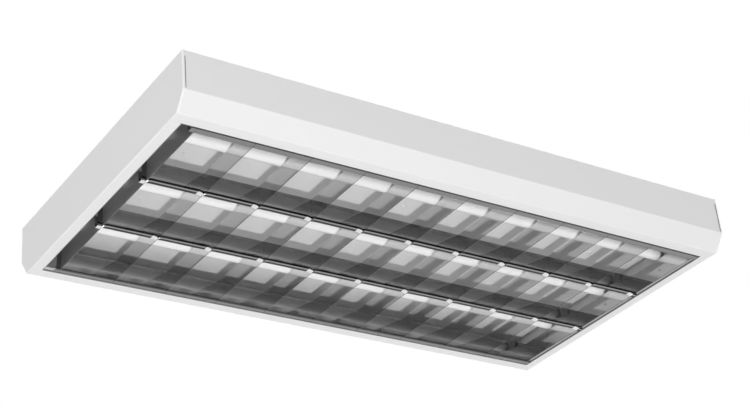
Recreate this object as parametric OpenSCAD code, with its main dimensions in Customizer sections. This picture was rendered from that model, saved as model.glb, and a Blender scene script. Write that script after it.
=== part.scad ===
// Surface ceiling light with a bright aluminium louvre for three long tubes.
// Lengths are in millimetres. The origin is the middle of the face that meets the
// ceiling, X runs along the tubes and +Z points up into the ceiling.

/* [Housing] */
// Overall length over both end caps
body_l = 1250; // [1246:1:1400]
// Overall width
body_w = 698; // [640:1:760]
// Overall height below the ceiling
body_h = 115; // [114:1:150]
// Thickness of the steel sheet
sheet = 1; // [0.7:0.1:1.4]
// Width of the sloping lower face, measured level
slope_w = 27; // [20:1:36]
// Height of the sloping lower face
slope_h = 35; // [25:1:45]
// Width of the flat rim beside the louvre
rim_w = 27; // [20:1:36]
// Width of the flat rim across each end
end_rim_w = 23.5; // [22:0.5:30]
// Height of the upturned lip round the opening
lip_h = 12; // [10:1:18]
// Outside radius of the folds along the body
fold_r = 2.5; // [1.6:0.1:4]
// Outside radius of the fold between rim and lip
lip_fold_r = 1.6; // [1.5:0.1:2.5]

/* [End caps] */
// Radius of the rounded edge of an end cap
cap_r = 3; // [2:0.5:4]
// Depth of an end cap over the body's end
cap_d = 4.5; // [4.2:0.1:6]
// How far an end cap stands proud of the body's sides
cap_proud = 0.6; // [0.3:0.1:1]
// Width of the open seam between side and end cap
seam_w = 1.2; // [0.6:0.1:2]
// Length of the tabs that carry the body's end
cap_tab_l = 16; // [12:1:20]

/* [Louvre] */
// Rows of cells, one for each tube
row_count = 3; // [2:1:3]
// Cells along each row
cell_count = 10; // [8:1:10]
// Height of the louvre
louvre_h = 42; // [36:1:43]
// Thickness of the reflector sheet
foil = 0.5; // [0.4:0.1:0.7]
// Thickness of a cross blade
blade_t = 0.8; // [0.5:0.1:1]
// Play of a blade in its slots, each side
slot_play = 0.15; // [0.1:0.05:0.25]
// Length of the reflectors past the first and last blades
overhang = 10; // [9:1:14]
// Gap to the rim at the left end, for a finger
finger_gap = 20.5; // [12:0.5:26]
// Gap to the rim at the right end
end_gap = 1.5; // [1:0.5:3]
// Gap to the rim along each side
side_gap = 3; // [2.5:0.5:4]
// Width of the flat foot of a side reflector
foot_w = 14; // [12:1:18]
// Height of the outer lip of a side reflector
foot_lip_h = 8; // [6:1:9]
// How far a reflector leans over its height
lean = 4; // [2:0.5:7]
// Width of the flat ridge of a centre reflector
ridge_w = 11; // [8:0.5:12]
// How far the ridge stands above the blades' lower edges
ridge_rise = 3.6; // [2:0.2:5]
// Length of the heel where the ridge comes down to a blade
heel_l = 12; // [8:1:16]
// Height of the tab at each end of a blade
tab_h = 14; // [10:1:18]

/* [Tubes] */
// Length of a tube between its cap faces
tube_l = 1199.4; // [1195:0.1:1200]
// Diameter of a tube
tube_d = 26; // [24:0.5:27]
// Gap between louvre and tube
tube_gap = 1; // [1:0.5:2.5]
// Length of a tube's metal cap
tube_cap_l = 8.5; // [7:0.5:10]
// Distance between the two pins of a cap
pin_pitch = 12.7; // [11:0.1:13]
// Diameter of a pin
pin_d = 2.35; // [2:0.05:2.6]
// Length of a pin
pin_l = 7.1; // [6:0.1:7.4]

/* [Lampholders] */
// Thickness of a lampholder along the tube
holder_t = 20; // [16:1:21]
// Width of a lampholder
holder_w = 28; // [26:1:34]
// Diameter of a rotor
rotor_d = 19; // [18:0.5:22]
// Thickness of a rotor
rotor_t = 9; // [8:0.5:11]
// Width of the entry slot below a rotor
entry_w = 5; // [4:0.5:7]

/* [Control gear] */
// Gap between tubes and gear tray
gear_gap = 15; // [8:1:16]
// Width of the hem along the gear tray's long sides
gear_hem_w = 10; // [6:1:14]
// Length of a ballast
ballast_l = 150; // [120:1:180]
// Width of a ballast
ballast_w = 41; // [36:1:48]
// Height of a ballast
ballast_h = 27; // [20:1:28]
// Diameter of the capacitor
capacitor_d = 25; // [20:1:26]
// Length of the capacitor
capacitor_l = 78; // [60:1:100]
// Length of the terminal block
block_l = 48; // [40:1:60]

/* [Starters] */
// Diameter of a starter
starter_d = 21.5; // [20:0.5:24]
// Length of a starter below the gear tray
starter_l = 35; // [30:1:37]

/* [Fixings] */
// Diameter of the ceiling fixing holes
fixing_d = 6; // [5:0.5:8]
// Distance between fixing holes along the light
fixing_x = 900; // [700:10:1000]
// Distance between fixing holes across the light
fixing_y = 440; // [420:10:480]
// Diameter of the cable entry in the housing
entry_d = 20; // [16:1:25]
// Diameter of the hinge pins
hinge_d = 3; // [2.5:0.5:3.5]
// Height of the hinge axis above the rim's face
hinge_rise = 4; // [3.8:0.1:4.5]

/* [Hidden] */
over = 1;
run_fit = 0.05;
touch = 0.1;
seat = 0.3;
fold_steps = 3;
round_steps = 4;
heel_steps = 4;
$fn = 64;

WHITE = [0.93, 0.93, 0.92];
MIRROR = [0.62, 0.63, 0.65];
GLASS = [0.97, 0.97, 0.96];
STEEL = [0.7, 0.71, 0.73];
BRASS = [0.8, 0.68, 0.4];
PLASTIC = [0.95, 0.95, 0.94];
DARK = [0.18, 0.18, 0.2];

blade_count = cell_count + 1;
low = -body_h;
half_l = body_l / 2;
half_w = body_w / 2 - cap_proud;
cap_half_w = body_w / 2;
open_half_w = half_w + cap_proud - slope_w - rim_w;
open_half_l = half_l - end_rim_w;
tray_half_l = half_l - cap_d;

louvre_l = 2 * open_half_l - finger_gap - end_gap;
louvre_x0 = -open_half_l + finger_gap;
louvre_half_w = open_half_w - side_gap;
wall_y = louvre_half_w - foot_w;
row_pitch = 2 * wall_y / row_count;
blade_pitch = (louvre_l - 2 * overhang) / cell_count;
louvre_top = low + louvre_h;
slot_half = blade_t / 2 + slot_play;
slot_mid = low + louvre_h / 2;
lip_in_y = louvre_half_w - foil;

tube_z = louvre_top + tube_gap + tube_d / 2;
gear_z = tube_z + tube_d / 2 + gear_gap;
gear_top = gear_z + sheet;
bay_h = -sheet - gear_top;
gear_half_l = half_l - sheet - 3 * touch;
gear_half_w = half_w - sheet - fold_r;
holder_play = 0.5;
holder_x = tube_l / 2 + holder_play;
hinge_y = louvre_half_w - hinge_rise;
hinge_z = low + hinge_rise;

function row_y(i) = (i - (row_count - 1) / 2) * row_pitch;
function ridge_y(i) = (i - (row_count - 2) / 2) * row_pitch;
function blade_x(k) = louvre_x0 + overhang + k * blade_pitch;
function reversed(p) = [for (i = [len(p) - 1:-1:0]) p[i]];
function unit(v) = v / norm(v);
function left_of(v) = [-v[1], v[0]];

// Points of an arc of radius r that replaces corner b between a and c.
function corner_arc(a, b, c, r) =
    let (u = unit(a - b), v = unit(c - b), half = acos(u * v) / 2,
         hub = b + unit(u + v) * r / sin(half),
         p = b + u * r / tan(half) - hub, q = b + v * r / tan(half) - hub,
         from = atan2(p[1], p[0]), turn = atan2(q[1], q[0]) - from,
         sweep = turn > 180 ? turn - 360 : turn < -180 ? turn + 360 : turn)
    [for (i = [0:fold_steps])
        hub + r * [cos(from + sweep * i / fold_steps), sin(from + sweep * i / fold_steps)]];

// An open path with the fold radius radii[i] at point i.
function folded(p, radii) =
    [for (i = [0:len(p) - 1])
        each radii[i] == 0 ? [p[i]] : corner_arc(p[i - 1], p[i], p[i + 1], radii[i])];

// The path moved to its left by t, with mitred corners.
function side_path(p, t) =
    [for (i = [0:len(p) - 1])
        let (u = unit(i == 0 ? p[1] - p[0] : p[i] - p[i - 1]),
             v = i == len(p) - 1 ? u : unit(p[i + 1] - p[i]),
             m = left_of(u), n = left_of(v))
        p[i] + (m + n) * t / (1 + m * n)];

// Outline of a sheet of thickness t whose outer face follows the path.
function strip(p, t) = concat(p, reversed(side_path(p, t)));

// A closed ring of points moved inwards by t; the ring runs anticlockwise.
function inset_ring(p, t) =
    [for (i = [0:len(p) - 1])
        let (n = len(p), u = unit(p[i] - p[(i + n - 1) % n]), v = unit(p[(i + 1) % n] - p[i]),
             a = left_of(u), b = left_of(v))
        p[i] + (a + b) * t / (1 + a * b)];

function mirrored_y(p) = [for (q = p) [-q[0], q[1]]];

module along_x(x0, l) translate([x0, 0, 0]) rotate([90, 0, 90]) linear_extrude(l) children();
module along_y(y0, l) translate([0, y0 + l, 0]) rotate([90, 0, 0]) linear_extrude(l) children();
module rod_x(x0, l, d) translate([x0, 0, 0]) rotate([0, 90, 0]) cylinder(h = l, d = d);
module box(a, b) translate(a) cube(b - a);
module both_sides() {
    children();
    mirror([0, 1, 0]) children();
}
module both_ends() {
    children();
    mirror([1, 0, 0]) children();
}
module at_rows() for (i = [0:row_count - 1]) translate([0, row_y(i), 0]) children();

// Housing: one sheet folded into top, sides, slopes, rims and lips.
side_corner = [half_w - slope_w, low];
housing_half = [
    [open_half_w, low + lip_h], [open_half_w, low], side_corner,
    [half_w, low + slope_h], [half_w, 0]];
housing_radii = [0, lip_fold_r, fold_r, fold_r, fold_r];
housing_path = concat(mirrored_y(housing_half), reversed(housing_half));
housing_path_radii = concat(housing_radii, reversed(housing_radii));
pillar_share = 0.78;
pillar_x = half_l * pillar_share;
pillar_y = row_pitch / 2;
pillar_d = 10;
screw_d = 4;
entry_share = -0.4;
entry_x = half_l * entry_share;

module fixing_points()
    both_ends() both_sides() translate([fixing_x / 2, fixing_y / 2, 0]) children();
module pillar_points()
    for (x = [-pillar_x, 0, pillar_x]) both_sides() translate([x, pillar_y, 0]) children();

module housing() color(WHITE) difference() {
    along_x(-tray_half_l, 2 * tray_half_l)
        polygon(strip(folded(housing_path, housing_path_radii), -sheet));
    fixing_points() translate([0, 0, -sheet - over]) cylinder(h = sheet + 2 * over, d = fixing_d);
    translate([entry_x, 0, -sheet - over]) cylinder(h = sheet + 2 * over, d = entry_d);
    both_ends() both_sides() box(
        [tray_half_l - seam_w, half_w - sheet - over, low + slope_h + fold_r],
        [tray_half_l + over, half_w + over, -lip_h]);
}

// End cap: a shallow pressed pan with tabs inside the body and the end rim below.
cap_ring = [
    [-cap_half_w, low + slope_h], [slope_w - cap_half_w, low], [cap_half_w - slope_w, low],
    [cap_half_w, low + slope_h], [cap_half_w, 0], [-cap_half_w, 0]];
skin = 0.02;

module cap_pan(wall) {
    r = cap_r - wall;
    hull() {
        for (i = [0:round_steps]) {
            a = 90 * i / round_steps;
            along_x(half_l - wall - r * (1 - cos(a)) - skin, skin)
                polygon(inset_ring(cap_ring, wall + r * (1 - sin(a))));
        }
        along_x(half_l - cap_d - (wall > 0 ? over : 0), skin) polygon(inset_ring(cap_ring, wall));
    }
}

module end_cap() color(WHITE) difference() {
    union() {
        difference() {
            cap_pan(0);
            cap_pan(sheet);
        }
        // rim and lip across the end
        box([open_half_l, -open_half_w, low], [half_l - cap_r, open_half_w, low + sheet]);
        box([open_half_l, -open_half_w, low], [open_half_l + sheet, open_half_w, low + lip_h]);
        // tabs under the body's top and inside its two sides
        box([half_l - cap_tab_l, fold_r + sheet - half_w, -2 * sheet - touch],
            [half_l - sheet / 2, half_w - fold_r - sheet, -sheet - touch]);
        both_sides() box(
            [half_l - cap_tab_l, half_w - 2 * sheet - touch, low + slope_h + fold_r],
            [half_l - sheet / 2, half_w - sheet - touch, -lip_h]);
    }
    translate([0, hinge_y, hinge_z])
        rod_x(open_half_l - over, sheet + 2 * over, hinge_d + 2 * run_fit);
}

module end_cap_right() end_cap();
module end_cap_left() mirror([1, 0, 0]) end_cap();

// Rubber grommet in the cable entry, flush with the ceiling face.
grommet_flange = 3;
grommet_flange_t = 2;
grommet_wall = 5;
module cable_grommet() color(DARK) translate([entry_x, 0, 0]) difference() {
    union() {
        translate([0, 0, -sheet]) cylinder(h = sheet, d = entry_d - 2 * run_fit);
        translate([0, 0, -sheet - grommet_flange_t])
            cylinder(h = grommet_flange_t, d = entry_d + 2 * grommet_flange);
    }
    translate([0, 0, -sheet - grommet_flange_t - over])
        cylinder(h = sheet + grommet_flange_t + 2 * over, d = entry_d - 2 * grommet_wall);
}

// Gear tray: the white sheet above the tubes that carries the control gear.
starter_play = 0.75;
starter_hole_d = starter_d + 2 * starter_play;
starter_x = louvre_x0 + overhang;
starter_off = row_pitch / 4;
module starter_points() at_rows() translate([starter_x, starter_off, 0]) children();

hem_r_share = 0.9;
hem_r = sheet * hem_r_share;
hem_half = [
    [gear_half_w - gear_hem_w, gear_top], [gear_half_w - gear_hem_w, gear_top + sheet],
    [gear_half_w, gear_top + sheet], [gear_half_w, gear_z]];
hem_radii = [0, 0, hem_r, hem_r];
module gear_tray() color(WHITE) difference() {
    along_x(-gear_half_l, 2 * gear_half_l) polygon(folded(
        concat(hem_half, reversed(mirrored_y(hem_half))), concat(hem_radii, reversed(hem_radii))));
    starter_points() translate([0, 0, gear_z - over])
        cylinder(h = sheet + 2 * over, d = starter_hole_d);
    pillar_points() translate([0, 0, gear_z - over])
        cylinder(h = sheet + 2 * over, d = screw_d + 2 * run_fit);
}

module gear_pillars() color(STEEL) pillar_points() difference() {
    translate([0, 0, gear_top]) cylinder(h = bay_h, d = pillar_d);
    translate([0, 0, gear_top - over]) cylinder(h = screw_l + over, d = screw_d + 2 * run_fit);
}

screw_l = 12;
screw_head_d = 8;
screw_head_h = 2.4;
screw_taper = 0.8;
cross_w = 1;
cross_l = 4.6;
// Pan head screw pointing up, its head's seat at z = 0.
module pan_screw(l) {
    cylinder(h = l, d = screw_d);
    difference() {
        translate([0, 0, -screw_head_h])
            cylinder(h = screw_head_h, d1 = screw_head_d - 2 * screw_taper, d2 = screw_head_d);
        for (a = [0, 90]) rotate(a) box(
            [-cross_l / 2, -cross_w / 2, -screw_head_h - over],
            [cross_l / 2, cross_w / 2, -screw_head_h / 2]);
    }
}
module gear_screws() color(STEEL)
    pillar_points() translate([0, 0, gear_z]) pan_screw(sheet + screw_l - seat);

// Ballast: laminated core between two wound coil ends on a slotted base plate.
core_share = 0.56;
coil_share = 0.09;
coil_r_share = 0.36;
core_chamfer = 3;
base_t = 1;
foot_slot_w = 5;
module ballast(i) translate([0, row_y(i), gear_top]) {
    core_l = ballast_l * core_share;
    coil_l = ballast_l * coil_share;
    coil_r = ballast_w * coil_r_share;
    color(STEEL) difference() {
        box([-ballast_l / 2, -ballast_w / 2, 0], [ballast_l / 2, ballast_w / 2, base_t]);
        both_ends() {
            box([ballast_l / 2 - 2 * foot_slot_w, -foot_slot_w / 2, -over],
                [ballast_l / 2 + over, foot_slot_w / 2, base_t + over]);
            translate([ballast_l / 2 - 2 * foot_slot_w, 0, -over])
                cylinder(h = base_t + 2 * over, d = foot_slot_w);
        }
    }
    color(DARK) along_x(-core_l / 2, core_l) polygon([
        [-ballast_w / 2, base_t], [ballast_w / 2, base_t],
        [ballast_w / 2, ballast_h - core_chamfer], [ballast_w / 2 - core_chamfer, ballast_h],
        [core_chamfer - ballast_w / 2, ballast_h], [-ballast_w / 2, ballast_h - core_chamfer]]);
    color(BRASS) intersection() {
        translate([0, 0, coil_r]) rod_x(-core_l / 2 - coil_l, core_l + 2 * coil_l, 2 * coil_r);
        box([-ballast_l, -ballast_w / 2, base_t], [ballast_l, ballast_w / 2, ballast_h - base_t]);
    }
}

module ballast_screws() color(STEEL)
    at_rows() both_ends() translate([ballast_l / 2 - foot_slot_w, 0, gear_top + base_t])
        mirror([0, 0, 1]) pan_screw(base_t);

// Capacitor can lying in a saddle clip.
clip_t = 0.8;
clip_w = 16;
clip_foot = 9;
capacitor_share = 0.3;
neck_share = 0.8;
capacitor_x = half_l * capacitor_share;
capacitor_y = row_pitch / 2;
capacitor_z = gear_top + capacitor_d / 2 + touch;
neck_l = 9;
tag_l = 6;
tag_d = 3;
module capacitor() color(STEEL) translate([capacitor_x, capacitor_y, capacitor_z]) {
    rod_x(0, capacitor_l, capacitor_d);
    rod_x(-neck_l, neck_l + over, capacitor_d * neck_share);
    for (s = [-1, 1]) translate([0, s * capacitor_d / 5, 0])
        rod_x(-neck_l - tag_l, tag_l + over, tag_d);
}
module capacitor_clip() color(STEEL)
    translate([capacitor_x + capacitor_l / 2 - clip_w / 2, capacitor_y, 0]) difference() {
        clip_d = capacitor_d + 2 * run_fit;
        union() {
            translate([0, 0, capacitor_z]) rod_x(0, clip_w, clip_d + 2 * clip_t);
            box([0, -clip_d / 2 - clip_t, gear_top], [clip_w, clip_d / 2 + clip_t, capacitor_z]);
            box([0, -clip_d / 2 - clip_foot, gear_top],
                [clip_w, clip_d / 2 + clip_foot, gear_top + clip_t]);
        }
        translate([0, 0, capacitor_z]) rod_x(-over, clip_w + 2 * over, clip_d);
        box([-over, -clip_d / 2, gear_top - over], [clip_w + over, clip_d / 2, capacitor_z]);
    }

// Terminal block by the cable entry.
block_w = 18;
block_h = 14;
shoulder_h = 8.4;
wire_h = 4.2;
ways = 5;
way_d = 4.2;
slot_h = 1.4;
block_x = entry_x + entry_d + block_l / 2;
way_pitch = block_l / ways;
module way_points() for (i = [0:ways - 1])
    translate([block_x + (i - (ways - 1) / 2) * way_pitch, 0, gear_top]) children();
module terminal_block() color(PLASTIC) difference() {
    translate([block_x, 0, gear_top]) union() {
        box([-block_l / 2, -block_w / 2, 0], [block_l / 2, block_w / 2, shoulder_h]);
        box([-block_l / 2, -block_w / 4, 0], [block_l / 2, block_w / 4, block_h]);
    }
    way_points() {
        translate([0, 0, wire_h]) rotate([90, 0, 0])
            cylinder(h = block_w + 2 * over, d = way_d, center = true);
        translate([0, 0, shoulder_h]) cylinder(h = block_h, d = way_d);
    }
}
module terminal_screws() color(BRASS) way_points() translate([0, 0, shoulder_h]) difference() {
    cylinder(h = wire_h, d = way_d - 2 * run_fit);
    box([-way_d, -cross_w / 2, wire_h - slot_h], [way_d, cross_w / 2, wire_h + over]);
}

// Lampholder: a round ended block that hangs from the gear tray.
holder_foot = 3;
module lampholder(i) color(PLASTIC) translate([0, row_y(i), 0]) difference() {
    union() {
        translate([0, 0, tube_z]) rod_x(holder_x, holder_t, holder_w);
        box([holder_x, -holder_w / 2, tube_z], [holder_x + holder_t, holder_w / 2, gear_z]);
        box([holder_x, -holder_w / 2 - holder_foot, gear_z - holder_foot],
            [holder_x + holder_t, holder_w / 2 + holder_foot, gear_z]);
    }
    translate([0, 0, tube_z]) rod_x(holder_x - over, rotor_t + over + touch, rotor_d + 2 * run_fit);
    box([holder_x - over, -entry_w / 2, tube_z - holder_w],
        [holder_x + rotor_t, entry_w / 2, tube_z]);
}

module lampholder_right(i) lampholder(i);
module lampholder_left(i) mirror([1, 0, 0]) lampholder(i);

// Pair of rotors, one in each lampholder of a row. The tube is locked: a quarter turn
// brings the slot over the entry slot, and the pins slide out.
module rotor_pair(i) color(PLASTIC) translate([0, row_y(i), tube_z]) both_ends() difference() {
    slot_w = pin_d + 2 * run_fit;
    rod_x(holder_x, rotor_t, rotor_d);
    translate([0, pin_pitch / 2, 0]) rod_x(holder_x - over, pin_l + over + touch, slot_w);
    box([holder_x - over, -rotor_d, -slot_w / 2],
        [holder_x + pin_l + touch, pin_pitch / 2, slot_w / 2]);
}

// Glass of a tube between its metal caps.
module tube_glass(i) color(GLASS) translate([0, row_y(i), tube_z])
    rod_x(-tube_l / 2 + tube_cap_l, tube_l - 2 * tube_cap_l, tube_d - 2 * touch);

module tube_caps(i) color(STEEL) translate([0, row_y(i), tube_z]) both_ends() {
    rod_x(tube_l / 2 - tube_cap_l, tube_cap_l - tube_gap, tube_d);
    rod_x(tube_l / 2 - over - tube_gap, over + tube_gap, tube_d - 2 * tube_gap);
    for (s = [-1, 1]) translate([0, s * pin_pitch / 2, 0])
        rod_x(tube_l / 2 - over, pin_l + over, pin_d);
}

// Starter and its socket. The pins turn in a ring groove.
socket_h = 13;
socket_d = 30;
starter_pin_pitch = 12.6;
starter_pin_d = 4.6;
starter_pin_l = 7;
pin_groove_play = 0.75;
starter_round = 1.5;
module starter_socket(i) color(PLASTIC)
    translate([starter_x, row_y(i) + starter_off, gear_top]) difference() {
    groove_half = starter_pin_d + 2 * pin_groove_play;
    cylinder(h = socket_h, d = socket_d);
    translate([0, 0, -over]) difference() {
        cylinder(h = starter_pin_l + over, d = starter_pin_pitch + groove_half);
        cylinder(h = starter_pin_l + over, d = starter_pin_pitch - groove_half);
    }
}
module starter(i) translate([starter_x, row_y(i) + starter_off, gear_top - seat]) {
    color(PLASTIC) rotate_extrude() polygon([
        [0, 0], [starter_d / 2, 0], [starter_d / 2, starter_round - starter_l],
        [starter_d / 2 - starter_round, -starter_l], [0, -starter_l]]);
    color(BRASS) for (s = [-1, 1]) translate([0, s * starter_pin_pitch / 2, -over])
        cylinder(h = starter_pin_l + over, d = starter_pin_d);
}

// Side reflector: wall, flat foot and outer lip, slotted for the blade tabs.
reflector_fold = 1.2;
side_profile = folded(
    [[wall_y - lean, louvre_top], [wall_y, low], [louvre_half_w, low], [louvre_half_w, low + foot_lip_h]],
    [0, reflector_fold, reflector_fold, 0]);
module side_reflector() difference() {
    along_x(louvre_x0, louvre_l) polygon(strip(side_profile, foil));
    for (k = [0:blade_count - 1]) translate([blade_x(k), 0, 0]) box(
        [-slot_half, wall_y - lean - over, low - over],
        [slot_half, lip_in_y - slot_play, low + tab_h + slot_play]);
}
module side_reflector_far() color(MIRROR) side_reflector();
module side_reflector_near() color(MIRROR) mirror([0, 1, 0]) side_reflector();

// Lower edge of one stretch of ridge: down at both ends, raised between.
function heel_points(x0, x1) = concat(
    [for (i = [heel_steps:-1:0]) let (a = 90 * i / heel_steps)
        [x0 + heel_l * (1 - sin(a)), low + ridge_rise * cos(a)]],
    [for (i = [0:heel_steps]) let (a = 90 * i / heel_steps)
        [x1 - heel_l * (1 - sin(a)), low + ridge_rise * cos(a)]]);

// Half width of a centre reflector at height z.
function ridge_half(z) = ridge_w / 2 + lean * (z - low) / louvre_h;

module ridge_stretches() {
    for (k = [0:cell_count - 1]) {
        x0 = blade_x(k) + slot_half;
        x1 = blade_x(k + 1) - slot_half;
        along_y(-ridge_w / 2, ridge_w) polygon(strip(heel_points(x0, x1), foil));
    }
    for (x0 = [louvre_x0, blade_x(cell_count) + slot_half])
        box([x0, -ridge_w / 2, low], [x0 + overhang - slot_half, ridge_w / 2, low + foil]);
}

ridge_edge = concat(
    [[louvre_x0 - over, low]],
    [for (k = [0:cell_count - 1])
        each heel_points(blade_x(k) + slot_half, blade_x(k + 1) - slot_half)],
    [[louvre_x0 + louvre_l + over, low]]);

// Centre reflector: an open V whose flat ridge faces down.
module centre_reflector(i) color(MIRROR) translate([0, ridge_y(i), 0]) difference() {
    union() {
        ridge_stretches();
        intersection() {
            along_y(-row_pitch / 2, row_pitch) polygon(concat(
                ridge_edge,
                [[louvre_x0 + louvre_l + over, louvre_top], [louvre_x0 - over, louvre_top]]));
            both_sides() along_x(louvre_x0, louvre_l) polygon([
                [ridge_half(low) - foil, low], [ridge_half(low), low],
                [ridge_half(louvre_top), louvre_top], [ridge_half(louvre_top) - foil, louvre_top]]);
        }
    }
    for (k = [0:blade_count - 1]) translate([blade_x(k), 0, 0]) box(
        [-slot_half, -row_pitch / 4, low - over], [slot_half, row_pitch / 4, slot_mid]);
}

// Cross blade: slotted from above for the centre reflectors, tabbed at both ends.
wall_play = foil + 2 * slot_play;
tab_end = lip_in_y - 2 * slot_play;
function wall_at(z) = wall_y - lean * (z - low) / louvre_h;
blade_half = [
    [tab_end, low], [tab_end, low + tab_h], [wall_at(low + tab_h) - slot_play, low + tab_h],
    [wall_at(louvre_top) - slot_play, louvre_top]];
module cross_blade(k) color(MIRROR) along_x(blade_x(k) - blade_t / 2, blade_t) difference() {
    polygon(concat(blade_half, reversed(mirrored_y(blade_half))));
    for (i = [0:row_count - 2]) translate([ridge_y(i), 0]) polygon([
        [-ridge_half(slot_mid) - slot_play, slot_mid - slot_play],
        [ridge_half(slot_mid) + slot_play, slot_mid - slot_play],
        [ridge_half(louvre_top) + slot_play, louvre_top + over],
        [-ridge_half(louvre_top) - slot_play, louvre_top + over]]);
}

// Hinge block in the foot of the far reflector, and the pin that it holds.
hinge_block_l = 6;
hinge_pin_left_x = -open_half_l - 2 * sheet;
hinge_pin_right_x = open_half_l + 2 * sheet;
block_y0 = wall_y + foil + touch;
block_y1 = lip_in_y - touch;
module hinge_block(x0) color(STEEL) difference() {
    box([x0, block_y0, low + foil + touch], [x0 + hinge_block_l, block_y1, hinge_z + hinge_d]);
    translate([0, hinge_y, hinge_z]) rod_x(x0 - over, hinge_block_l + 2 * over, hinge_d + 2 * run_fit);
}
hinge_block_left_x = louvre_x0 + slot_play;
hinge_block_right_x = louvre_x0 + louvre_l - slot_play - hinge_block_l;
module hinge_block_left() hinge_block(hinge_block_left_x);
module hinge_block_right() hinge_block(hinge_block_right_x);
module hinge_pin_left() color(STEEL) translate([0, hinge_y, hinge_z])
    rod_x(hinge_pin_left_x, hinge_block_left_x + hinge_block_l - hinge_pin_left_x, hinge_d);
module hinge_pin_right() color(STEEL) translate([0, hinge_y, hinge_z])
    rod_x(hinge_block_right_x, hinge_pin_right_x - hinge_block_right_x, hinge_d);

// Leaf spring clipped over the near lip; its bulge presses on the louvre.
spring_t = 0.5;
spring_w = 22;
spring_share = 0.55;
module louvre_spring(side) color(STEEL)
    along_x(side * half_l * spring_share - spring_w / 2, spring_w)
    polygon(strip([
        [open_half_w + sheet + touch + spring_t, low + lip_h / 3],
        [open_half_w + sheet + touch + spring_t, low + lip_h + touch + spring_t],
        [open_half_w - touch - spring_t, low + lip_h + touch + spring_t],
        [open_half_w - side_gap + seat, low + lip_h / 2],
        [open_half_w - touch - spring_t, low + lip_h / 6]], spring_t));
module louvre_springs() mirror([0, 1, 0]) {
    louvre_spring(-1);
    louvre_spring(1);
}

ROWS = [for (i = [1:row_count]) i];
RIDGES = [for (i = [1:row_count - 1]) i];
BLADES = [for (k = [1:blade_count]) k];

housing();
end_cap_left();
end_cap_right();
cable_grommet();
gear_tray();
gear_pillars();
gear_screws();
ballast_screws();
capacitor();
capacitor_clip();
terminal_block();
terminal_screws();
louvre_springs();
side_reflector_near();
side_reflector_far();
hinge_block_left();
hinge_block_right();
hinge_pin_left();
hinge_pin_right();
for (i = ROWS) ballast(i - 1);
for (i = ROWS) lampholder_left(i - 1);
for (i = ROWS) lampholder_right(i - 1);
for (i = ROWS) rotor_pair(i - 1);
for (i = ROWS) tube_glass(i - 1);
for (i = ROWS) tube_caps(i - 1);
for (i = ROWS) starter_socket(i - 1);
for (i = ROWS) starter(i - 1);
for (i = RIDGES) centre_reflector(i - 1);
for (k = BLADES) cross_blade(k - 1);
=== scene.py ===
# %% [markdown]
# # A ceiling light with a bright louvre
#
# The light is a shallow white sheet-metal housing, fixed under a ceiling. A hinged aluminium
# louvre of thin blades and reflectors closes it below, and three long fluorescent tubes lie above
# the louvre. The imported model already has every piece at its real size, so this lesson is mostly
# about finishes: how powder coat, rolled aluminium, coated glass and zinc differ, and how light
# from below shows them.

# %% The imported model
import math

import bpy
from mathutils import Matrix, Vector


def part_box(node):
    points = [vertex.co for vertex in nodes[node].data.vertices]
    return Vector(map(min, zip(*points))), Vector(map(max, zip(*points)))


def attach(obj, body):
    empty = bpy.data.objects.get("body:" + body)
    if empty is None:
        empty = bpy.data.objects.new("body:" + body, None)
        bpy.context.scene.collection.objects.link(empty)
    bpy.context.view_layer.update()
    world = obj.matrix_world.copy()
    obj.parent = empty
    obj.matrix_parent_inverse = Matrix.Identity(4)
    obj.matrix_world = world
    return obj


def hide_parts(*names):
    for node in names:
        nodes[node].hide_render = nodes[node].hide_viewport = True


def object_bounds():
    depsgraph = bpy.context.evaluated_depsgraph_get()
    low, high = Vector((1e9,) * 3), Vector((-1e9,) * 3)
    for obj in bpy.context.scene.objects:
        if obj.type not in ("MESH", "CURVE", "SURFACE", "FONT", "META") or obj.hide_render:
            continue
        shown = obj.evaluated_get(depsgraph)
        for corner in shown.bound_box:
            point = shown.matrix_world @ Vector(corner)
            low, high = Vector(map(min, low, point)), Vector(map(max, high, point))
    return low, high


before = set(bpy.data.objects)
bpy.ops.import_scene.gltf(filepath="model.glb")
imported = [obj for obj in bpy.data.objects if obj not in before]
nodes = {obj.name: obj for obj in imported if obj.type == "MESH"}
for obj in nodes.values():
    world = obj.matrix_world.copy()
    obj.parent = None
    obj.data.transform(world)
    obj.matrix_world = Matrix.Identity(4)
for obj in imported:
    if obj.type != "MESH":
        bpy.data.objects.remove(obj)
cad_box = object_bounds()
body_low, body_high = (Vector(corner) for corner in cad_box)
print("box:", [round(v, 4) for v in body_low], [round(v, 4) for v in body_high])

# %% [markdown]
# The camera stands where the photograph was taken from: to the left of the near long side and
# well below the light, looking up. It could be placed by eye, but its numbers were worked out
# from the corners of the housing, so that the edges fall where the photograph has them. Its place
# is a point in metres, and its aim is three angles, as on a tripod head: a turn, a tilt and a
# small roll. The focal length and the centre are in pixels of the photograph. Divided by its
# width they give the lens and the shift, so the view is the same at any resolution.

# %% The camera
PICTURE_W = 750
FOCAL_PX = 1637.8
CENTRE_PX = (371.5, 202.5)
PICTURE_CENTRE = (375.0, 203.0)
SENSOR = 36.0
VIEW_DEPTH = 200.0
camera_place = Vector((-1.7259, -2.3877, -1.6202))
turn, tilt, roll = math.radians(35.720), math.radians(29.207), math.radians(-5.562)


def aim(turn_angle, tilt_angle, roll_angle):
    """Rotation of a camera that faces +Y, turned to the right, tilted up and rolled."""
    turned = Matrix.Rotation(-turn_angle, 4, "Z")
    tilted = Matrix.Rotation(math.radians(90) + tilt_angle, 4, "X")
    return turned @ tilted @ Matrix.Rotation(roll_angle, 4, "Z")


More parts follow.
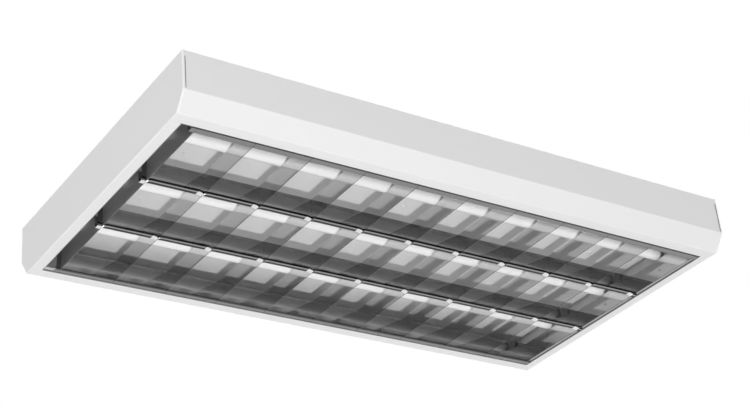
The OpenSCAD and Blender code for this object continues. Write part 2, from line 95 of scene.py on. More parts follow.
camera_data = bpy.data.cameras.new("photo_camera")
camera_data.sensor_width = SENSOR
camera_data.lens = SENSOR * FOCAL_PX / PICTURE_W
camera_data.shift_x = (PICTURE_CENTRE[0] - CENTRE_PX[0]) / PICTURE_W
camera_data.shift_y = (CENTRE_PX[1] - PICTURE_CENTRE[1]) / PICTURE_W
camera_data.clip_end = VIEW_DEPTH
camera = bpy.data.objects.new("photo_camera", camera_data)
camera.matrix_world = Matrix.Translation(camera_place) @ aim(turn, tilt, roll)
bpy.context.scene.collection.objects.link(camera)
bpy.context.scene.camera = camera
bpy.context.scene.view_settings.view_transform = "Standard"
print("lens:", round(camera_data.lens, 2), "mm")

# %% [markdown]
# A finish is a web of nodes that add, multiply and compare. Each Math node could be added and
# linked by itself, at three lines a node, but arithmetic reads best as arithmetic. A signal is
# one output of a node. It has Python's operators, so that `1 - mask * 0.4` adds the Math nodes by
# itself.


# %% Signals
class Signal:
    """One output of a shader node, with Python's operators."""

    def __init__(self, wiring, socket):
        self.wiring = wiring
        self.socket = socket

    def math(self, operation, *values):
        sockets = dict(enumerate(values))
        return self.wiring.node("ShaderNodeMath", {"operation": operation}, sockets)

    def __add__(self, other):
        return self.math("ADD", self, other)

    def __sub__(self, other):
        return self.math("SUBTRACT", self, other)

    def __rsub__(self, other):
        return self.math("SUBTRACT", other, self)

    def __mul__(self, other):
        return self.math("MULTIPLY", self, other)

    def __truediv__(self, other):
        return self.math("DIVIDE", self, other)

    def __pow__(self, other):
        return self.math("POWER", self, other)

    def __mod__(self, other):
        return self.math("FLOORED_MODULO", self, other)

    def __lt__(self, other):
        return self.math("LESS_THAN", self, other)

    __radd__ = __add__
    __rmul__ = __mul__

    def size(self):
        return self.math("ABSOLUTE", self)

    def at_least(self, other):
        return self.math("MAXIMUM", self, other)

    def at_most(self, other):
        return self.math("MINIMUM", self, other)


print("a signal takes + - * / ** % < and has size, at_least and at_most")

# %% [markdown]
# A wiring is the node tree of a material or of the world. Its one method `node` adds any node,
# sets its settings first and then feeds its sockets, as one does by hand in the node editor. The
# other methods stay short, because they are built on this one.


# %% Wirings
MIX_A, MIX_B, MIX_RESULT = 6, 7, 2  # the Mix node's sockets for colours


class Wiring:
    """The node tree of a material or of the world."""

    def __init__(self, tree):
        self.tree = tree

    def node(self, kind, settings=None, sockets=None, out=0):
        """Adds a node: settings first, then sockets by name or number. Returns one output."""
        made = self.tree.nodes.new(kind)
        for key, value in (settings or {}).items():
            setattr(made, key, value)
        for key, value in (sockets or {}).items():
            self.feed(made.inputs[key], value)
        return Signal(self, made.outputs[out])

    def feed(self, socket, value):
        """Links a signal to a socket, or sets the socket's own value."""
        if isinstance(value, Signal):
            self.tree.links.new(value.socket, socket)
        else:
            socket.default_value = value

    def ramp(self, value, low, high):
        """0 where value is at low, 1 at high, smooth between."""
        return self.node("ShaderNodeMapRange", {"interpolation_type": "SMOOTHSTEP"},
                         {0: value, 1: low, 2: high})

    def mix(self, mask, colour_a, colour_b):
        """colour_a where mask is 0, colour_b where it is 1."""
        return self.node("ShaderNodeMix", {"data_type": "RGBA"},
                         {0: mask, MIX_A: colour_a, MIX_B: colour_b}, out=MIX_RESULT)

    def seen_directly(self):
        """1 for rays that show the background: from the camera, or by way of metal or glass."""
        camera_ray, glossy_ray, transmission_ray, depth = (
            self.node("ShaderNodeLightPath", out=name)
            for name in ("Is Camera Ray", "Is Glossy Ray", "Is Transmission Ray", "Diffuse Depth"))
        return camera_ray.at_least(glossy_ray.at_least(transmission_ray) * (1 - depth.at_most(1)))


print("a wiring has node, feed, ramp, mix and seen_directly")

# %% [markdown]
# A finish is the wiring of a material on the Principled shader. Its patterns could follow a UV
# map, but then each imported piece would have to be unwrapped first. They lie on object coordinates
# in metres instead, so a scale of 1000 makes a pattern of about a millimetre on every piece.


# %% Finishes
class Finish(Wiring):
    """The wiring of a material on the Principled shader."""

    def __init__(self, name, **constants):
        self.material = bpy.data.materials.new(name)
        self.material.use_nodes = True
        super().__init__(self.material.node_tree)
        self.shader = self.tree.nodes["Principled BSDF"]
        self.connect(**constants)
        self.place = self.node("ShaderNodeTexCoord", out="Object")

    def along(self, axis):
        """Object coordinate along X, Y or Z, in metres."""
        return self.node("ShaderNodeSeparateXYZ", None, {0: self.place}, out=axis)

    def above_lowest(self):
        """Height over the lowest point of the light, in metres."""
        return self.along("Z") - body_low.z

    def noise(self, scales, detail=2.0, roughness=0.5):
        """Noise with a scale for each axis. A large number makes it fine along that axis."""
        scaled = self.node("ShaderNodeMapping", None, {"Vector": self.place, "Scale": scales})
        sockets = {"Vector": scaled, "Scale": 1.0, "Detail": detail, "Roughness": roughness}
        return self.node("ShaderNodeTexNoise", None, sockets)

    def bump(self, height, distance, below=None):
        """Bump of that distance in metres where height is 1. Below is a bump that it lies on."""
        sockets = {"Height": height, "Distance": distance}
        if below is not None:
            sockets["Normal"] = below
        return self.node("ShaderNodeBump", None, sockets)

    def connect(self, **values):
        """Feeds the shader's sockets, with _ for a space in a name. Returns the material."""
        for socket_name, value in values.items():
            self.feed(self.shader.inputs[socket_name.replace("_", " ")], value)
        return self.material


def even(scale):
    """The same noise scale along all three axes."""
    return (scale, scale, scale)


def grey(value, warmth=0.0):
    """A near-neutral colour: warmth lifts red and lowers blue."""
    return (value * (1 + warmth), value, value * (1 - warmth), 1.0)


print("a warm grey:", [round(v, 3) for v in grey(0.5, 0.02)])

# %% [markdown]
# Two places on the housing are darkened by dust and painted shade together: the fold of the lip
# round the opening, where the louvre closes, and the open seam between a long side and an end cap.
# Both draw thin dark lines in the photograph. They could be painted on by hand, but they lie at
# known places, so each mask is worked out from object coordinates.

# %% Painted shade and dust in the folds
OPENING_HALF_L, OPENING_HALF_W = 0.6015, 0.295
FOLD_BAND_W, FOLD_BAND_H, FOLD_BAND_FADE = 0.0020, 0.004, 0.6
SEAM_START, SEAM_END, SEAM_LOW, SEAM_HIGH = 0.6189, 0.6207, -0.0775, -0.012


def lip_shade_and_dust(finish):
    """The fold of the lip round the opening."""
    past_end = finish.along("X").size() - OPENING_HALF_L
    past_side = finish.along("Y").size() - OPENING_HALF_W
    beside = 1 - finish.ramp(past_end.at_least(past_side), FOLD_BAND_W * FOLD_BAND_FADE, FOLD_BAND_W)
    return beside * finish.ramp(finish.above_lowest(), FOLD_BAND_H, FOLD_BAND_H * FOLD_BAND_FADE)


def seam_shade_and_dust(finish):
    """The open seam between a long side and an end cap."""
    along, height = finish.along("X").size(), finish.along("Z")
    in_seam = (1 - (along < SEAM_START)) * (along < SEAM_END)
    return in_seam * (1 - (height < SEAM_LOW)) * (height < SEAM_HIGH)


def housing_shade_and_dust(finish):
    """Dust and painted shade in both places."""
    return lip_shade_and_dust(finish).at_least(seam_shade_and_dust(finish))


print("seam width:", round(SEAM_END - SEAM_START, 4), "m")

# %% [markdown]
# The housing and its end caps are powder coated. Melted powder is never quite flat: it has an
# orange peel of about a millimetre, satin gloss, and a slow cloudiness where hands and dust have
# dulled it. The peel could be modelled, but it is only hundredths of a millimetre high, so it is
# a fine bump. The cloudiness changes roughness more than colour. The tray above the tubes has the
# same coat, a little glossier and without the dust and painted shade of the folds, and its darker
# tone is painted shade for the weaker light inside the housing.

# %% Powder coat
CLOUD_SCALE, WAVE_SCALE, SPECK_SCALE, PEEL_SCALE = 3.0, 9.0, 420.0, 750.0
SPECK_RANGE, SPECK_SHARE = (0.70, 0.78), 0.35
CLOUD_TONE, SPECK_TONE, SHADE_DUST_TONE = 0.985, 0.86, 0.22
CLOUD_WARMTH, SPECK_WARMTH, SHADE_DUST_WARMTH = 0.002, 0.01, 0.02
CLOUD_MIDDLE, CLOUD_GLOSS, PEEL_GLOSS = 0.5, 0.16, 0.04
WAVE_HEIGHT, PEEL_HEIGHT = 0.0004, 0.00004


def powder_coat(name, tone, gloss, shade_and_dust=None):
    """The last argument is a function of the finish that gives a mask, 1 where dust and painted
    shade lie.
    """
    finish = Finish(name)
    cloud = finish.noise(even(CLOUD_SCALE), detail=3.0)
    peel = finish.noise(even(PEEL_SCALE), detail=1.5)
    waves = finish.noise(even(WAVE_SCALE), detail=1.0)
    specks = finish.ramp(finish.noise(even(SPECK_SCALE)), *SPECK_RANGE)
    colour = finish.mix(cloud, grey(tone * CLOUD_TONE, CLOUD_WARMTH), grey(tone))
    colour = finish.mix(specks * SPECK_SHARE, colour, grey(tone * SPECK_TONE, SPECK_WARMTH))
    # Dust and painted shade darken the coat in the folds.
    if shade_and_dust:
        colour = finish.mix(shade_and_dust(finish), colour, grey(tone * SHADE_DUST_TONE, SHADE_DUST_WARMTH))
    return finish.connect(
        Base_Color=colour,
        Roughness=gloss + (cloud - CLOUD_MIDDLE) * CLOUD_GLOSS + peel * PEEL_GLOSS,
        Normal=finish.bump(peel, PEEL_HEIGHT, below=finish.bump(waves, WAVE_HEIGHT)))


housing_paint = powder_coat("housing_powder_coat", tone=0.875, gloss=0.36, shade_and_dust=housing_shade_and_dust)
# The tray's lower tone is painted shade.
shaded_tray_paint = powder_coat("tray_enamel", tone=0.76, gloss=0.30)
print("finishes:", housing_paint.name, shaded_tray_paint.name)

# %% [markdown]
# Louvres are made of aluminium strip, rolled bright and anodised. Rolling leaves fine lines along
# the strip. The shader's Anisotropic setting could stretch the highlights, but it is lost when a
# material is baked. So the roughness and the bump are noise that is stretched along the piece:
# slow along its length and quick across it. The reflectors run along X and the blades along Y, so
# each gets its own direction. A slow bump makes the reflections waver, as thin sheet does.

# %% Rolled aluminium
LINE_SLOW, LINE_QUICK, LINE_DETAIL, LINE_MIX, BAND_QUICK = 2.5, 900.0, 2.5, 0.6, 60.0
BUCKLE_SCALE, SMUDGE_SCALE, SMUDGE_RANGE, SMUDGE_SHARE = 7.0, 16.0, (0.56, 0.74), 0.25
LINE_LOW_TONE, LINE_HIGH_TONE, SMUDGE_TONE = 0.94, 1.05, 0.9
LINE_COOLNESS, SMUDGE_WARMTH = -0.004, 0.01
PAINTED_SHADE_TONE, HIGHLIGHT_TONE, DULL_TONE, DULL_GLOSS = 0.10, 0.86, 0.68, 0.45
PLAIN_GLOSS, BAND_GLOSS, LINE_GLOSS, SMUDGE_GLOSS = 0.6, 0.5, 0.3, 0.9
BUCKLE_HEIGHT, LINE_HEIGHT = 0.0003, 0.000008


def stretched(axis, quick):
    """Noise scales that are slow along one axis and quick across it."""
    return tuple(LINE_SLOW if letter == axis else quick for letter in "XYZ")


def rolled_aluminium(name, axis, tone, gloss, shade=None, painted_highlight=None, dull=None):
    """The last three arguments are functions of the finish that give masks, 1 for their looks:
    painted shade, a painted highlight and a dull face.
    """
    finish = Finish(name, Metallic=1.0)
    lines = finish.noise(stretched(axis, LINE_QUICK), detail=LINE_DETAIL, roughness=LINE_MIX)
    bands = finish.noise(stretched(axis, BAND_QUICK))
    buckle = finish.noise(even(BUCKLE_SCALE), detail=1.0)
    smudge = finish.ramp(finish.noise(even(SMUDGE_SCALE), detail=4.0), *SMUDGE_RANGE)
    low_tone, high_tone = grey(tone * LINE_LOW_TONE), grey(tone * LINE_HIGH_TONE, LINE_COOLNESS)
    colour = finish.mix(lines, low_tone, high_tone)
    colour = finish.mix(smudge * SMUDGE_SHARE, colour, grey(tone * SMUDGE_TONE, SMUDGE_WARMTH))
    if shade:
        # Painted shade: the mask paints the metal dark.
        colour = finish.mix(shade(finish), colour, grey(tone * PAINTED_SHADE_TONE))
    if painted_highlight:
        # Painted highlight: the mask paints the metal bright.
        colour = finish.mix(painted_highlight(finish), colour, grey(HIGHLIGHT_TONE))
    roughness = gloss * (PLAIN_GLOSS + bands * BAND_GLOSS
                         + lines * LINE_GLOSS + smudge * SMUDGE_GLOSS)
    if dull:
        colour = finish.mix(dull(finish), colour, grey(tone * DULL_TONE))
        roughness = roughness + dull(finish) * DULL_GLOSS
    return finish.connect(
        Base_Color=colour,
        Roughness=roughness,
        Normal=finish.bump(lines, LINE_HEIGHT, below=finish.bump(buckle, BUCKLE_HEIGHT)))


print("rolling lines:", LINE_SLOW, "along the strip,", LINE_QUICK, "across it")

# %% [markdown]
# Bright sheet is darkest where it is bent: a tight bend shows a thin picture of everything round
# it. The imported bends are sharp and can't show that, so a mask paints the metal beside them dark:
# painted shade in place of that reflection. The farther half of each ridge gets the same painted
# shade. On a centre reflector the bends follow the ridge, which comes down to each blade in a
# quarter ellipse, so the mask is worked out from the distance to the nearest blade. The heel, where
# the ridge comes down, is brighter than the rest of it in the photograph, so it gets a painted
# highlight of its own. The places come from the imported boxes. The ridge's rise and width and the
# heel's length are the ones drawn in CAD.

# %% Painted shade and highlight on the centre reflectors
BLADES = 11
RIDGE_RISE, HEEL_LENGTH, RIDGE_HALF = 0.0036, 0.012, 0.0055
HEEL_FADE, BLADE_CLEAR, HEEL_FULL, HEEL_TOP = 0.85, 0.0006, 0.0006, 0.0012
WALL_BEND, WALL_FADE, WALL_EDGE, HALF_START, HALF_FULL = 0.0045, 0.2, 0.0003, -0.0014, -0.0004
blade_x = [sum(corner[0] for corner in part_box(f"cross_blade_{k}")) / 2
           for k in range(1, BLADES + 1)]
cell_length = (blade_x[-1] - blade_x[0]) / (BLADES - 1)
ridge_y = sum(corner[1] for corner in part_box("centre_reflector_2")) / 2


def from_nearest(place, first, pitch):
    """Distance with its sign from the nearest of a row of lines."""
    return (place - first + pitch / 2) % pitch - pitch / 2


def above_ridge(finish):
    """Height over the lower edge of a centre reflector."""
    to_blade = from_nearest(finish.along("X"), blade_x[0], cell_length).size()
    fall = (1 - to_blade / HEEL_LENGTH).at_least(0)
    return finish.above_lowest() - RIDGE_RISE * (1 - fall * fall) ** 0.5


def painted_heel_highlight(finish):
    """A painted highlight on the end of each stretch of ridge, where it comes down to a blade on
    that blade's left.
    """
    past_blade = from_nearest(finish.along("X"), blade_x[0], cell_length)
    stretch = finish.ramp(past_blade, -HEEL_LENGTH, -HEEL_LENGTH * HEEL_FADE)
    low_enough = finish.ramp(above_ridge(finish), HEEL_TOP, HEEL_FULL)
    return stretch * (past_blade < -BLADE_CLEAR) * low_enough


def centre_reflector_shade(finish):
    """Painted shade beside the ridge: at the foot of each wall, and on the farther half of the
    ridge.
    """
    above = above_ridge(finish)
    across = from_nearest(finish.along("Y"), ridge_y, 2 * ridge_y)
    near_wall = finish.ramp(across, WALL_EDGE - RIDGE_HALF, -RIDGE_HALF)
    far_half = finish.ramp(across, HALF_START, HALF_FULL)
    low_enough = finish.ramp(above, WALL_BEND * (1 + WALL_FADE), WALL_BEND * (1 - WALL_FADE))
    return near_wall.at_least(far_half) * low_enough


# The reflectors' tone is far darker than bright aluminium: painted shade for the dark surroundings
# the mirrors show.
centre_metal = rolled_aluminium("centre_reflector_aluminium", "X", tone=0.34, gloss=0.07,
                                shade=centre_reflector_shade, painted_highlight=painted_heel_highlight)
print("cell length:", round(cell_length, 5), "m, ridges at y =", round(ridge_y, 5), "m")

# %% [markdown]
# A side reflector gets painted shade at the bend between its wall and its flat foot, and a weaker
# painted shade over the foot, which makes the foot darker than the wall. A blade has no bend, but
# its lower edge gets a thin painted shade. In the photograph the outer face of the first blade is
# an even grey without a mirror image, so the outer faces of the two end blades are dull here. Each
# of these could be a material of its own on picked faces, but a mask leaves the imported meshes
# alone.

# %% Feet and blades
FOOT_START, FOOT_FADE, FOOT_SHADE_SHARE, SIDE_SPLIT = 0.278, 0.0005, 0.40, 0.1
BEND_NEAR, BEND_FAR_EXTRA, BEND_EDGE, BEND_SHADE_SHARE = 0.0018, 0.0028, 0.0004, 0.92
BEND_TOP, BEND_FULL, CUT_TOP, CUT_FULL = 0.0028, 0.0014, 0.0006, 0.0003


def side_reflector_shade(finish):
    """Painted shade on a side reflector: darkest at the bend between its foot and wall, weaker over
    the foot.
    """
    outward = finish.along("Y").size()
    far_side = finish.ramp(finish.along("Y"), -SIDE_SPLIT, SIDE_SPLIT)
    past_bend = outward - (FOOT_START + BEND_NEAR + far_side * BEND_FAR_EXTRA)
    bend_shade = 1 - finish.ramp(past_bend, -BEND_EDGE, BEND_EDGE)
    bend_shade = bend_shade * finish.ramp(finish.above_lowest(), BEND_TOP, BEND_FULL) * BEND_SHADE_SHARE
    foot_shade = finish.ramp(outward, FOOT_START, FOOT_START + FOOT_FADE)
    return bend_shade.at_least(foot_shade * FOOT_SHADE_SHARE)


def blade_edge_shade(finish):
    """Painted shade along the lower edge of a blade."""
    return finish.ramp(finish.above_lowest(), CUT_TOP, CUT_FULL)


def outside(finish):
    """The outer face of the blade at either end of the louvre, which faces the lampholders."""
    x = finish.along("X")
    return (x < blade_x[0]).at_least(1 - (x < blade_x[-1]))


# These tones too are darker than bright aluminium, lower on the reflectors than on the blades:
# painted shade for the dark surroundings the mirrors show.
side_metal = rolled_aluminium("side_reflector_aluminium", "X", tone=0.40, gloss=0.07,
                              shade=side_reflector_shade)
blade_metal = rolled_aluminium("blade_aluminium", "Y", tone=0.60, gloss=0.03,
                               shade=blade_edge_shade, dull=outside)
print("end blades at x =", round(blade_x[0], 4), round(blade_x[-1], 4), "m")

# %% [markdown]
# A fluorescent tube is clear glass with a white powder inside. It could be a clear shell over a
# white core, but a coat does the same on a single solid: a rough white base for the powder, and a
# smooth coat for the glass over it. Near its ends the powder is thinner and a little grey. The
# caps are aluminium with fine lines round them.

# %% Tubes and their caps
MOTTLE_SCALES, MOTTLE_GLOSS = (40.0, 120.0, 120.0), 0.08
POWDER_LOW, POWDER_HIGH, POWDER_WARMTH = 0.90, 0.93, 0.004
POWDER_GLOSS, GLASS_GLOSS = 0.42, 0.03
THIN_START, THIN_FULL, THIN_TONE, THIN_WARMTH, THIN_SHARE = 0.030, 0.002, 0.66, 0.02, 0.8
RING_SCALES, RING_GLOSS, RING_HEIGHT = (1500.0, 25.0, 25.0), 0.12, 0.00001
HAZE_SCALE, HAZE_TONE = 90.0, 0.9
tube_low, tube_high = (Vector(corner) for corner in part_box("tube_glass_2"))
tube_half = (tube_high.x - tube_low.x) / 2


def coated_glass():
    finish = Finish("tube_coated_glass", Coat_Weight=1.0, Coat_Roughness=GLASS_GLOSS)
    ends = finish.ramp(finish.along("X").size(), tube_half - THIN_START, tube_half - THIN_FULL)
    mottle = finish.noise(MOTTLE_SCALES, detail=3.0)
    powder = finish.mix(mottle, grey(POWDER_LOW, POWDER_WARMTH), grey(POWDER_HIGH, POWDER_WARMTH))
    return finish.connect(
        Base_Color=finish.mix(ends * THIN_SHARE, powder, grey(THIN_TONE, THIN_WARMTH)),
        Roughness=POWDER_GLOSS + mottle * MOTTLE_GLOSS)


def turned_metal(name, tone, gloss, warmth=0.0):
    finish = Finish(name, Metallic=1.0)
    rings = finish.noise(RING_SCALES, detail=2.0)
    haze = finish.noise(even(HAZE_SCALE), detail=3.0)
    return finish.connect(
        Base_Color=finish.mix(haze, grey(tone * HAZE_TONE, warmth), grey(tone, warmth)),
        Roughness=gloss + rings * RING_GLOSS,
        Normal=finish.bump(rings, RING_HEIGHT))


tube_glass = coated_glass()
cap_metal = turned_metal("tube_cap_metal", tone=0.62, gloss=0.24)
print("tube half length:", round(tube_half, 4), "m")

# %% [markdown]
# The small parts each have their own finish. Zinc plating is pale, with crystals a few
# millimetres wide that differ in tone. Noise would blur them into each other, so they are the
# cells of a Voronoi pattern, each with one tone. Moulded plastic has a faint even grain. Varnish
# on a ballast's laminations leaves thin ridges, one for each sheet of iron. Rubber is dark, with
# a soft sheen.

# %% Zinc, plastic and varnish
CRYSTAL_SCALE, CRYSTAL_TONE, CRYSTAL_GLOSS = 320.0, 0.86, 0.10
ZINC_LOW_WARMTH, ZINC_HIGH_WARMTH = 0.01, 0.015
SCUFF_SCALE, SCUFF_GLOSS, SCUFF_HEIGHT = 700.0, 0.06, 0.00001
GRAIN_SCALE, GRAIN_GLOSS, GRAIN_HEIGHT = 1200.0, 0.08, 0.00002
FLOW_SCALE, FLOW_TONE = 30.0, 0.97
SHEET_SCALES, SHEET_HEIGHT = (2000.0, 12.0, 12.0), 0.00012
RUN_SCALES, RUN_GLOSS, VARNISH_GLOSS = (25.0, 25.0, 60.0), 0.18, 0.34
VARNISH_DARK, VARNISH_BROWN = (0.035, 0.032, 0.030, 1.0), (0.085, 0.07, 0.06, 1.0)


def zinc_plate(name, tone, gloss):
    finish = Finish(name, Metallic=1.0)
    crystals = finish.node("ShaderNodeTexVoronoi", None,
                           {"Vector": finish.place, "Scale": CRYSTAL_SCALE}, out="Color")
    level = finish.node("ShaderNodeSeparateColor", None, {0: crystals}, out="Red")
    scuff = finish.noise(even(SCUFF_SCALE), detail=2.0)
    low_tone = grey(tone * CRYSTAL_TONE, ZINC_LOW_WARMTH)
    return finish.connect(
        Base_Color=finish.mix(level, low_tone, grey(tone, ZINC_HIGH_WARMTH)),
        Roughness=gloss + level * CRYSTAL_GLOSS + scuff * SCUFF_GLOSS,
        Normal=finish.bump(scuff, SCUFF_HEIGHT))


def moulded(name, tone, gloss, warmth=0.004):
    finish = Finish(name)
    grain = finish.noise(even(GRAIN_SCALE), detail=1.0)
    flow = finish.noise(even(FLOW_SCALE), detail=2.0)
    return finish.connect(
        Base_Color=finish.mix(flow, grey(tone * FLOW_TONE, warmth), grey(tone, warmth)),
        Roughness=gloss + grain * GRAIN_GLOSS,
        Normal=finish.bump(grain, GRAIN_HEIGHT))


def laminated_varnish(name):
    finish = Finish(name)
    sheets = finish.noise(SHEET_SCALES, detail=1.0)
    runs = finish.noise(RUN_SCALES, detail=3.0)
    return finish.connect(
        Base_Color=finish.mix(runs, VARNISH_DARK, VARNISH_BROWN),
        Roughness=VARNISH_GLOSS + runs * RUN_GLOSS,
        Normal=finish.bump(sheets, SHEET_HEIGHT))


zinc = zinc_plate("zinc_plated_steel", tone=0.66, gloss=0.28)
spring_metal = rolled_aluminium("spring_strip", "X", tone=0.50, gloss=0.18)
can_metal = turned_metal("drawn_can", tone=0.66, gloss=0.26)
brass = turned_metal("terminal_brass", tone=0.55, gloss=0.24, warmth=0.28)
white_moulding = moulded("white_moulding", tone=0.80, gloss=0.30)
starter_moulding = moulded("starter_moulding", tone=0.76, gloss=0.38, warmth=0.015)
rubber = moulded("grommet_rubber", tone=0.03, gloss=0.58, warmth=0.0)
varnish = laminated_varnish("ballast_varnish")
print("materials:", len(bpy.data.materials))

# %% [markdown]
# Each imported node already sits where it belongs, and only its material changes. The nodes could
# be dressed one by one, but a table from the start of a node's name to its finish does them all,
# and the eleven blades need one line. Where two starts fit a name, the longer one counts.

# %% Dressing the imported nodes
FINISH_OF = {
    "housing": housing_paint,
    "end_cap": housing_paint,
    "gear_tray": shaded_tray_paint,
    "side_reflector": side_metal,
    "centre_reflector": centre_metal,
    "cross_blade": blade_metal,
    "tube_glass": tube_glass,
    "tube_caps": cap_metal,
    "rotors": white_moulding,
    "lampholder": white_moulding,
    "starter_socket": white_moulding,
    "terminal_block": white_moulding,
    "starter_": starter_moulding,
    "hinge_": zinc,
    "gear_pillars": zinc,
    "gear_screws": shaded_tray_paint,
    "ballast_screws": zinc,
    "capacitor_clip": zinc,
    "louvre_springs": spring_metal,
    "ballast_": varnish,
    "capacitor": can_metal,
    "terminal_screws": brass,
    "cable_grommet": rubber,
}


def dress(piece, material):
    piece.data.materials.clear()
    piece.data.materials.append(material)


for node_name, node in nodes.items():
    start = max((key for key in FINISH_OF if node_name.startswith(key)), key=len)
    dress(node, FINISH_OF[start])
print("dressed:", len(nodes))

# %% [markdown]
# Modelling by hand starts with picking, by clicks. In code, parts of a mesh are picked by where
# they are and which way they face, so one helper leaves only the wanted faces or edges selected.
# Two more open a new cylinder in edit mode and close a finished piece: normals outwards, smooth
# sides, material and body.

# %% Tools for modelling
SMOOTH_ANGLE = math.radians(35)
LEVEL = 0.9  # a face is level when its normal has more than this of Z
UPWARDS = (0.0, 0.0, 1.0)


def pick(piece, kind, wanted):
    """Leaves only the wanted faces or edges selected. Wanted gets a part's centre and normal."""
    bpy.ops.object.mode_set(mode="OBJECT")
    mesh = piece.data
    for part in (*mesh.vertices, *mesh.edges, *mesh.polygons):
        part.select = False
    points = [vertex.co for vertex in mesh.vertices]
    for part in mesh.polygons if kind == "FACE" else mesh.edges:
        centre = sum((points[i] for i in part.vertices), Vector()) / len(part.vertices)
        part.select = wanted(centre, part.normal if kind == "FACE" else None)
    bpy.ops.object.mode_set(mode="EDIT")
    bpy.ops.mesh.select_mode(type=kind)


def added_cylinder(name, sides, radius, low, high, x, y):
    """An upright cylinder about x and y, in edit mode, with its origin at the scene's origin."""
    bpy.ops.object.select_all(action="DESELECT")
    bpy.ops.mesh.primitive_cylinder_add(vertices=sides, radius=radius, depth=high - low,
                                        location=(x, y, (low + high) / 2))
    piece = bpy.context.object
    piece.name = piece.data.name = name
    bpy.ops.object.transform_apply(location=True)
    bpy.ops.object.mode_set(mode="EDIT")
    return piece


def finished(piece, material, body, slot):
    """Leaves edit mode, smooths the round sides, dresses the piece and sets it on its body."""
    bpy.ops.mesh.select_all(action="SELECT")
    bpy.ops.mesh.normals_make_consistent(inside=False)
    bpy.ops.object.mode_set(mode="OBJECT")
    bpy.ops.object.shade_smooth_by_angle(angle=SMOOTH_ANGLE)
    dress(piece, material)
    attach(piece, body)


print("tools:", [tool.__name__ for tool in (pick, added_cylinder, finished)])

# %% [markdown]
# A starter is a small moulded can that is pushed into its socket beside the tube and turned by an
# eighth. Fingers turn it by a band of grooves near its lower end, and the end is dished. The
# packed one is a plain can, so this one takes its place. The grooves could be a bump, but they
# show in the outline, so they are modelled: a cylinder is cut into rings, every other face of one
# ring is pushed in, and the end is bevelled and inset.

# %% The can of a starter
CAN_LENGTH, GRIP_LOW, GRIP_HIGH, GROOVE_DEPTH = 0.035, 0.0025, 0.0140, 0.0005
CAN_SIDES, END_ROUND, ROUND_STEPS, END_RIM, END_DISH = 72, 0.0015, 4, 0.0030, 0.0010
TOUCHING, OUTER_SHARE = 1e-5, 0.9


def starter_can(number):
    """Makes the can of one starter and returns where its pins start."""
    low, high = (Vector(corner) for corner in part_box(f"starter_{number}"))
    x, y, radius = (low.x + high.x) / 2, (low.y + high.y) / 2, (high.x - low.x) / 2
    axis, top = Vector((x, y)), low.z + CAN_LENGTH
    can = added_cylinder(f"starter_can_{number}", CAN_SIDES, radius, low.z, top, x, y)
    for height in (GRIP_LOW, GRIP_HIGH):
        bpy.ops.mesh.select_all(action="SELECT")
        bpy.ops.mesh.bisect(plane_co=(x, y, low.z + height), plane_no=UPWARDS)

    def in_a_groove(centre, normal):
        side = math.floor(math.atan2(centre.y - y, centre.x - x) / (2 * math.pi) * CAN_SIDES)
        in_grip = GRIP_LOW < centre.z - low.z < GRIP_HIGH
        return in_grip and abs(normal.z) < LEVEL and side % 2 == 0

    def round_the_end(centre, normal):
        return centre.z - low.z < TOUCHING and (centre.xy - axis).length > radius * OUTER_SHARE

    def on_the_end(centre, normal):
        return centre.z - low.z < TOUCHING and normal.z < -LEVEL

    pick(can, "FACE", in_a_groove)
    bpy.ops.mesh.extrude_region_shrink_fatten(TRANSFORM_OT_shrink_fatten={"value": -GROOVE_DEPTH})
    pick(can, "EDGE", round_the_end)
    bpy.ops.mesh.bevel(offset=END_ROUND, segments=ROUND_STEPS, affect="EDGES")
    pick(can, "FACE", on_the_end)
    bpy.ops.mesh.inset(thickness=END_RIM)
    bpy.ops.mesh.inset(thickness=END_DISH, depth=-END_DISH)
    finished(can, starter_moulding, f"starter_body_{number}", "starter_plastic")
    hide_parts(f"starter_{number}")
    return x, y, top


print("can:", CAN_LENGTH, "m long,", CAN_SIDES, "sides")

# %% [markdown]
# Two brass pins with broad heads hold a starter in its socket. A pin could be spun from its
# outline, but it takes fewer steps to draw out the top face of a thin cylinder: by a short step,
# which is then made wider, and once more, so that the neck grows into a head. The head's edge is
# rounded so that it slides into the groove of the socket.

# %% The pins of a starter
PIN_SIDES, PIN_LENGTH, NECK_RADIUS, NECK_LENGTH = 24, 0.0069, 0.0013, 0.0048
HEAD_RADIUS, HEAD_SPREAD, HEAD_ROUND, HEAD_STEPS = 0.0023, 0.0002, 0.0006, 3


def draw_out(distance):
    """Extrudes the picked faces upwards."""
    bpy.ops.mesh.extrude_region_move(TRANSFORM_OT_translate={"value": (0.0, 0.0, distance)})


def starter_pin(number, side_name, x, y, low):
    top, neck_top, grow = low + PIN_LENGTH, low + NECK_LENGTH, HEAD_RADIUS / NECK_RADIUS
    pin = added_cylinder(f"starter_pin_{number}_{side_name}", PIN_SIDES, NECK_RADIUS,
                         low, neck_top, x, y)
    pick(pin, "FACE", lambda centre, normal: normal.z > LEVEL)
    draw_out(HEAD_SPREAD)
    bpy.ops.transform.resize(value=(grow, grow, 1.0), center_override=(x, y, neck_top))
    draw_out(PIN_LENGTH - NECK_LENGTH - HEAD_SPREAD)
    pick(pin, "EDGE", lambda centre, normal: abs(centre.z - top) < TOUCHING)
    bpy.ops.mesh.bevel(offset=HEAD_ROUND, segments=HEAD_STEPS, affect="EDGES")
    finished(pin, brass, f"starter_body_{number}", "terminal_brass")


print("pin:", PIN_LENGTH, "m long")

# %% [markdown]
# Each starter is modelled at its own socket, so that nothing has to be moved into place
# afterwards. The first can differs from the other two. When it is picked, edit mode still goes by
# vertices, and every other face has all the vertices of the ring, so the whole ring is pushed in
# and its band is plain. By the time of the other two, edit mode goes by edges, and only the
# wanted faces are picked, so their bands have grooves.

# %% Three starters
PIN_PITCH = 0.0126

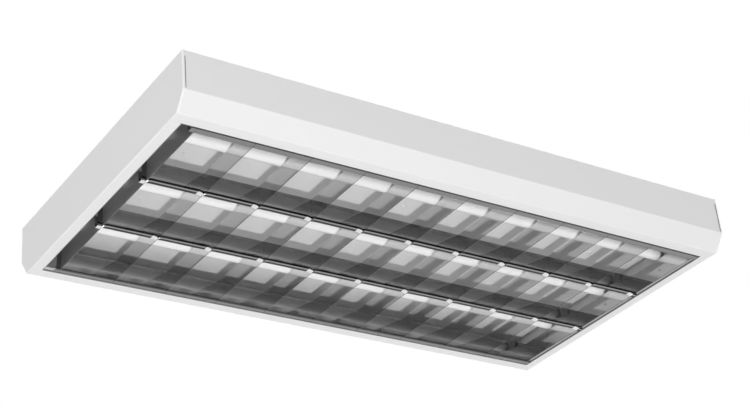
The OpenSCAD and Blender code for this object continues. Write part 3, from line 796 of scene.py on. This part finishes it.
for number in (1, 2, 3):
    x, y, low = starter_can(number)
    for side_name, side in (("near", -1), ("far", 1)):
        starter_pin(number, side_name, x, y + side * PIN_PITCH / 2, low)

# %% [markdown]
# The surroundings. The light hangs above the floor, as it would under a ceiling, so the floor is
# far below. All round the light the photograph is white. A bright world would give that too, but
# it would light the paint until it clips. So the world and the floor are near white only to the
# camera and in reflections: as a lamp the world is dim, and the floor's glow lights nothing.

# %% World and floor
WORLD_LIGHT = 0.15
FLOOR_DROP, FLOOR_RADIUS, FLOOR_SIDES = 6.7, 60.0, 96
FLOOR_TONE, FLOOR_GLOSS, FLOOR_GLOW = 0.8, 0.9, 0.45


def white_world():
    world = bpy.data.worlds.new("studio_world")
    bpy.context.scene.world = world
    world.use_nodes = True
    wiring = Wiring(world.node_tree)
    as_lamp, as_view = (
        wiring.node("ShaderNodeBackground", None, {"Color": grey(1.0), "Strength": strength})
        for strength in (WORLD_LIGHT, 1.0))
    sockets = {0: wiring.seen_directly(), 1: as_lamp, 2: as_view}
    choice = wiring.node("ShaderNodeMixShader", None, sockets)
    wiring.feed(wiring.tree.nodes["World Output"].inputs["Surface"], choice)


def studio_floor():
    bpy.ops.object.select_all(action="DESELECT")
    bpy.ops.mesh.primitive_circle_add(vertices=FLOOR_SIDES, radius=FLOOR_RADIUS, fill_type="NGON",
                                      location=(0.0, 0.0, body_low.z - FLOOR_DROP))
    floor = bpy.context.object
    floor.name = "studio_floor"
    bpy.ops.object.transform_apply(location=True)
    paint = Finish("floor_paint", Roughness=FLOOR_GLOSS)
    paint.connect(Base_Color=grey(FLOOR_TONE))
    matt = Signal(paint, paint.shader.outputs[0])
    glow = paint.node("ShaderNodeEmission", None, {"Strength": FLOOR_GLOW})
    both = paint.node("ShaderNodeAddShader", None, {0: matt, 1: glow})
    choice = paint.node("ShaderNodeMixShader", None, {0: paint.seen_directly(), 1: matt, 2: both})
    paint.feed(paint.tree.nodes["Material Output"].inputs["Surface"], choice)
    dress(floor, paint.material)


white_world()
studio_floor()
print("floor:", FLOOR_DROP, "m below the light")

# %% [markdown]
# Light from all sides alike would be simple, but the louvre would draw no shadows. So one firm
# lamp, below and to the left, draws them on the white tray above the tubes. Wide soft lamps face
# the near side, the left end and the far side, and a weak sun from above lights the top and the
# floor. Their strengths were set so that each painted side is about as light as in the
# photograph.

# %% Lamps
KEY_SIDE, KEY_DISTANCE, KEY_SIZE = Vector((-0.55, -0.95, -1.0)).normalized(), 9.0, 0.5
SOFT_SIZE, SUN_ANGLE = 3.0, math.radians(12)
LAMPS = (
    ("key_below_left", "AREA", KEY_SIDE * KEY_DISTANCE, {"energy": 440.0, "size": KEY_SIZE}),
    ("fill_near_side", "AREA", Vector((2.5, -6.0, 0.4)), {"energy": 14.0, "size": SOFT_SIZE}),
    ("fill_left_end", "AREA", Vector((-6.0, -1.0, 0.4)), {"energy": 74.0, "size": SOFT_SIZE}),
    ("fill_far_side", "AREA", Vector((3.5, 6.0, 0.6)), {"energy": 180.0, "size": SOFT_SIZE}),
    ("sun_above", "SUN", Vector((-1.0, -1.5, 6.0)), {"energy": 1.05, "angle": SUN_ANGLE}),
)
middle = (body_low + body_high) / 2


def lamp(name, kind, offset, settings):
    """A lamp that faces the middle of the light from that offset."""
    data = bpy.data.lights.new(name, kind)
    for key, value in settings.items():
        setattr(data, key, value)
    made = bpy.data.objects.new(name, data)
    place = middle + offset
    facing = (middle - place).to_track_quat("-Z", "Y").to_matrix().to_4x4()
    made.matrix_world = Matrix.Translation(place) @ facing
    made.visible_camera = False
    bpy.context.scene.collection.objects.link(made)


for row in LAMPS:
    lamp(*row)
